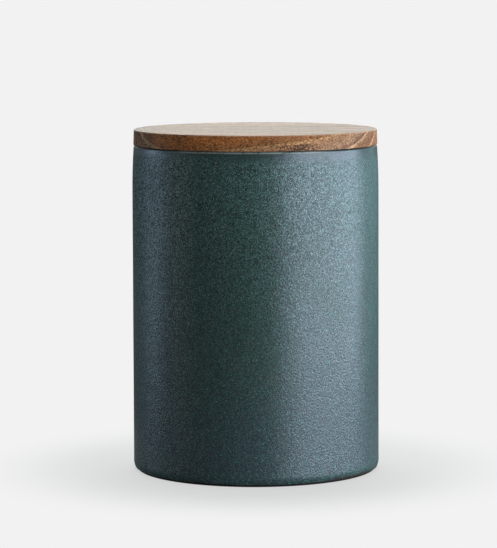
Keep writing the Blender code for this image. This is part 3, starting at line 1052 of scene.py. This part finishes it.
def table_paint():
    """Paint that keeps the shadow near the jar, fades out into the background, and isn't there from
    below. The camera sees it pale, and the light that it throws back on the jar is its real grey's."""
    material = bpy.data.materials.new("pale_table_paint")
    material.use_nodes = True
    tree = material.node_tree
    tree.nodes.clear()
    path = add_node(tree, "ShaderNodeLightPath")
    gloss = add_node(tree, "ShaderNodeMath", [
        ("operation", "MULTIPLY"), (1, FLOOR_GLOSS_SHARE),
    ], [(0, path.outputs["Is Glossy Ray"])])
    mirrored = add_node(tree, "ShaderNodeMath", [("operation", "MAXIMUM")], [
        (0, gloss), (1, path.outputs["Is Transmission Ray"]),
    ])
    seen = add_node(tree, "ShaderNodeMath", [("operation", "MAXIMUM")], [
        (0, path.outputs["Is Camera Ray"]), (1, mirrored),
    ])
    tone = add_node(tree, "ShaderNodeMix", [
        ("data_type", "RGBA"), (MIX_A, linear(FLOOR_REAL_COLOUR)), (MIX_B, linear(FLOOR_COLOUR)),
    ], [(0, seen)])
    paint = add_node(tree, "ShaderNodeBsdfDiffuse", [], [("Color", tone.outputs[MIX_RESULT])])
    glow = add_node(tree, "ShaderNodeEmission", [("Color", linear(BACKGROUND))])
    place = add_node(tree, "ShaderNodeTexCoord").outputs["Object"]
    reach = add_node(tree, "ShaderNodeVectorMath", [("operation", "LENGTH")], [(0, place)])
    fade = add_node(tree, "ShaderNodeMapRange", [
        ("interpolation_type", "SMOOTHERSTEP"),
        ("From Min", FLOOR_FADE_START), ("From Max", FLOOR_REACH), ("To Min", SHADOW_SHARE), ("To Max", 0),
    ], [("Value", reach.outputs["Value"])])
    keep = add_node(tree, "ShaderNodeMapRange", [("To Min", 1)], [("Value", seen), ("To Max", fade)])
    top = add_node(tree, "ShaderNodeMixShader", [], [(0, keep), (1, glow), (2, paint)])
    below = add_node(tree, "ShaderNodeBsdfTransparent")
    side = add_node(tree, "ShaderNodeNewGeometry")
    both_sides = add_node(tree, "ShaderNodeMixShader", [], [
        (0, side.outputs["Backfacing"]), (1, top), (2, below),
    ])
    add_node(tree, "ShaderNodeOutputMaterial", [], [("Surface", both_sides)])
    return material


def stage_floor():
    """A pale round table top."""
    angles = [2 * math.pi * side / FLOOR_SIDES for side in range(FLOOR_SIDES)]
    rim = [(FLOOR_REACH * math.cos(angle), FLOOR_REACH * math.sin(angle), 0) for angle in angles]
    mesh = bpy.data.meshes.new("studio_floor")
    mesh.from_pydata(rim, [], [range(FLOOR_SIDES)])
    floor = in_scene("studio_floor", mesh)
    mesh.materials.append(table_paint())


def soft_panel(name, azimuth_deg, elevation_deg, faced_height, distance, width, height, radiance, tint):
    """A soft panel that faces the jar, and that the camera doesn't see."""
    lamp = bpy.data.lights.new(name, "AREA")
    lamp.shape = "RECTANGLE"
    lamp.size = width
    lamp.size_y = height
    lamp.energy = radiance * math.pi * width * height
    lamp.color = tint
    azimuth, elevation = math.radians(azimuth_deg), math.radians(elevation_deg)
    away = Vector((
        math.sin(azimuth) * math.cos(elevation),
        -math.cos(azimuth) * math.cos(elevation),
        math.sin(elevation),
    ))
    panel = in_scene(name, lamp)
    panel.location = Vector((0, 0, faced_height)) + away * distance
    panel.rotation_mode = "QUATERNION"
    panel.rotation_quaternion = away.to_track_quat("Z", "Y")
    panel.visible_camera = False


def studio_world():
    """The backdrop: pale to the camera and through clear stuff, and in gloss where it really stands,
    behind the jar and above the table. To all else the studio is dim and even."""
    world = bpy.data.worlds.new("studio")
    world.use_nodes = True
    bpy.context.scene.world = world
    tree = world.node_tree
    tree.nodes.clear()
    path = add_node(tree, "ShaderNodeLightPath")
    way = add_node(tree, "ShaderNodeTexCoord").outputs["Generated"]
    rightward, backward, upward = add_node(tree, "ShaderNodeSeparateXYZ", [], [(0, way)]).outputs
    above = add_node(tree, "ShaderNodeMapRange", [
        ("From Min", HORIZON[0]), ("From Max", HORIZON[1]),
    ], [("Value", upward)])
    behind = add_node(tree, "ShaderNodeMapRange", [
        ("From Min", BACKDROP_SIDES[0]), ("From Max", BACKDROP_SIDES[1]),
    ], [("Value", backward)])
    dimmer_left = add_node(tree, "ShaderNodeMapRange", [
        ("From Min", BACKDROP_LEFT[0]), ("From Max", BACKDROP_LEFT[1]), ("To Min", BACKDROP_LEFT_LEVEL),
    ], [("Value", rightward)])
    standing = add_node(tree, "ShaderNodeMath", [("operation", "MULTIPLY")], [
        (0, dimmer_left), (1, behind),
    ])
    backdrop = add_node(tree, "ShaderNodeMath", [("operation", "MULTIPLY")], [(0, above), (1, standing)])
    gloss = add_node(tree, "ShaderNodeMath", [("operation", "MULTIPLY")], [
        (0, path.outputs["Is Glossy Ray"]), (1, backdrop),
    ])
    clear = add_node(tree, "ShaderNodeMath", [("operation", "MAXIMUM")], [
        (0, gloss), (1, path.outputs["Is Transmission Ray"]),
    ])
    pale = add_node(tree, "ShaderNodeMath", [("operation", "MAXIMUM")], [
        (0, clear), (1, path.outputs["Is Camera Ray"]),
    ])
    level = add_node(tree, "ShaderNodeMapRange", [("To Min", FILL_LEVEL)], [("Value", pale)])
    back = add_node(tree, "ShaderNodeBackground", [("Color", linear(BACKGROUND))], [("Strength", level)])
    add_node(tree, "ShaderNodeOutputWorld", [], [("Surface", back)])


def camera():
    """The photo's camera: far off, a little above the lid, and aimed a little down."""
    lens = bpy.data.cameras.new("camera")
    lens.sensor_width = SENSOR
    lens.lens = SENSOR * FOCAL_PIXELS / PHOTO_HEIGHT
    lens.clip_start = CAMERA_CLIP
    piece = in_scene("camera", lens)
    aim = Vector((
        math.sin(CAMERA_YAW) * math.cos(CAMERA_PITCH),
        math.cos(CAMERA_YAW) * math.cos(CAMERA_PITCH),
        -math.sin(CAMERA_PITCH),
    ))
    piece.location = CAMERA_PLACE
    piece.rotation_mode = "QUATERNION"
    piece.rotation_quaternion = aim.to_track_quat("-Z", "Y") @ Quaternion((0, 0, 1), CAMERA_ROLL)
    bpy.context.scene.camera = piece


def main():
    stoneware_jar()
    wooden_lid()
    silicone_seal()
    stage_floor()
    for panel in PANELS:
        soft_panel(*panel)
    studio_world()
    camera()
    bpy.context.scene.view_settings.view_transform = "Standard"


main()
